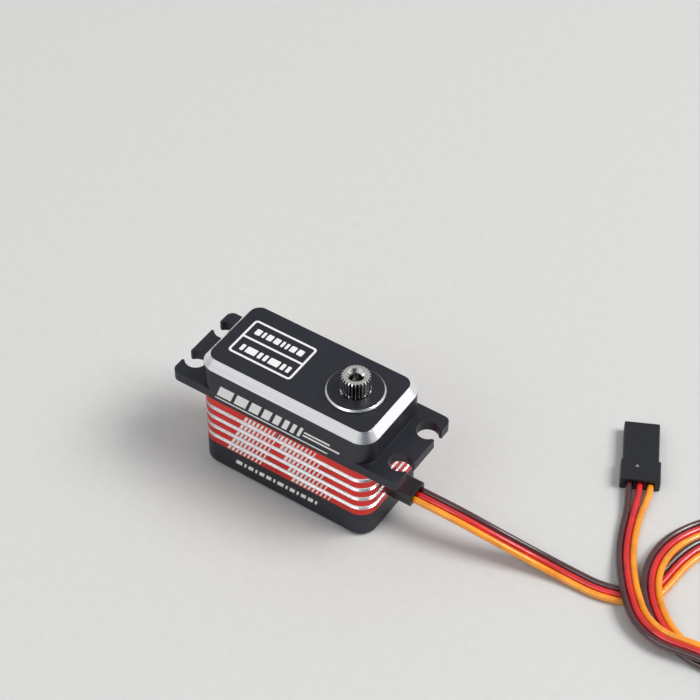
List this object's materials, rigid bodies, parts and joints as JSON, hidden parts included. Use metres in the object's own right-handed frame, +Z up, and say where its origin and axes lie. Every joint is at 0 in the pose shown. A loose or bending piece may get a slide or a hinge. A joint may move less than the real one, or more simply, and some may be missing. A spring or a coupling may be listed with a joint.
{
  "type": "servo motor",
  "caption": "Low-profile servo motor: bevelled metal case with slotted tabs, splined output shaft, geared motor inside, and a coiled three-wire lead with a plug.",
  "frame": {"origin": "middle of the case's underside", "axes": "+X along the case towards the end with the output shaft and the lead, +Z up along the output shaft"},
  "size_m": [0.1357, 0.0586, 0.034],
  "materials": {
    "black_anodised": "bead-blasted black anodising with bright machined bevels",
    "red_anodised": "satin red anodising with bright turned grooves",
    "hardened_steel": "hobbed and ground steel",
    "bearing_steel": "ground and polished steel",
    "black_steel": "black oxide",
    "seal_rubber": "matt",
    "gear_brass": "machined",
    "motor_steel": "drawn and laminated steel",
    "motor_aluminium": "turned",
    "copper_wire": "enamelled copper",
    "magnet_coating": "nickel plated",
    "black_plastic": "moulded, fine texture",
    "black_rubber": "moulded, satin",
    "circuit_board": "solder mask",
    "chip_epoxy": "moulded epoxy",
    "chip_ceramic": "ceramic with tinned ends",
    "wire_brown": "soft PVC",
    "wire_red": "soft PVC",
    "wire_orange": "soft PVC"
  },
  "bodies": {
    "case": {"board_chips": "chip_epoxy", "board_passives": "chip_ceramic", "bottom_cover": "black_anodised", "case_screws": "black_steel", "connector_housing": "black_plastic", "connector_terminals": "gear_brass", "control_board": "circuit_board", "gear_pins": "bearing_steel", "inner_wires": "wire_red", "lead_coil": "wire_red", "lead_tie": "black_rubber", "lead_wire_brown": "wire_brown", "lead_wire_orange": "wire_orange", "lead_wire_red": "wire_red", "lower_bearing_balls": "bearing_steel", "lower_bearing_outer_race": "bearing_steel", "lower_seal": "seal_rubber", "middle_case": "red_anodised", "motor_bearings": "bearing_steel", "motor_can": "motor_steel", "motor_end_cap": "motor_aluminium", "motor_leads": "wire_red", "motor_screws": "black_steel", "position_sensor": "black_plastic", "sensor_leads": "copper_wire", "stator_core": "motor_steel", "stator_windings": "copper_wire", "strain_relief": "black_rubber", "top_case": "black_anodised", "upper_bearing_balls": "bearing_steel", "upper_bearing_outer_race": "bearing_steel", "upper_seal": "seal_rubber"},
    "output": {"output_shaft": "hardened_steel", "output_gear": "hardened_steel", "upper_bearing_inner_race": "bearing_steel", "lower_bearing_inner_race": "bearing_steel", "sensor_shaft": "bearing_steel"},
    "rotor": {"rotor_shaft": "bearing_steel", "rotor_magnet": "magnet_coating", "motor_pinion": "gear_brass"},
    "first_gear": {"first_reduction_gear": "hardened_steel"},
    "second_gear": {"second_reduction_gear": "hardened_steel"},
    "third_gear": {"third_reduction_gear": "hardened_steel"}
  },
  "joints": [
    {"name": "rotor_spin", "type": "hinge", "parent": "case", "child": "rotor", "pos_m": [-0.00704, 0.0005, 0.0124], "axis": [0, 0, 1], "range_deg": [-7985, 7985]},
    {"name": "output_turn", "type": "hinge", "parent": "case", "child": "output", "pos_m": [0.0108, 0, 0.026], "axis": [0, 0, 1], "range_deg": [-90, 90]},
    {"name": "first_gear_turn", "type": "hinge", "parent": "case", "child": "first_gear", "pos_m": [0.00101, 0.00145, 0.0206], "axis": [0, 0, 1], "continuous": true},
    {"name": "second_gear_turn", "type": "hinge", "parent": "case", "child": "second_gear", "pos_m": [-0.00592, -0.0023, 0.0224], "axis": [0, 0, 1], "continuous": true},
    {"name": "third_gear_turn", "type": "hinge", "parent": "case", "child": "third_gear", "pos_m": [0.00101, 0.00145, 0.0242], "axis": [0, 0, 1], "continuous": true}
  ],
  "couplings": [
    {"joint": "first_gear_turn", "follows": "rotor_spin", "ratio": -0.22727},
    {"joint": "second_gear_turn", "follows": "rotor_spin", "ratio": 0.082645},
    {"joint": "third_gear_turn", "follows": "rotor_spin", "ratio": -0.030053},
    {"joint": "output_turn", "follows": "rotor_spin", "ratio": 0.01127}
  ]
}
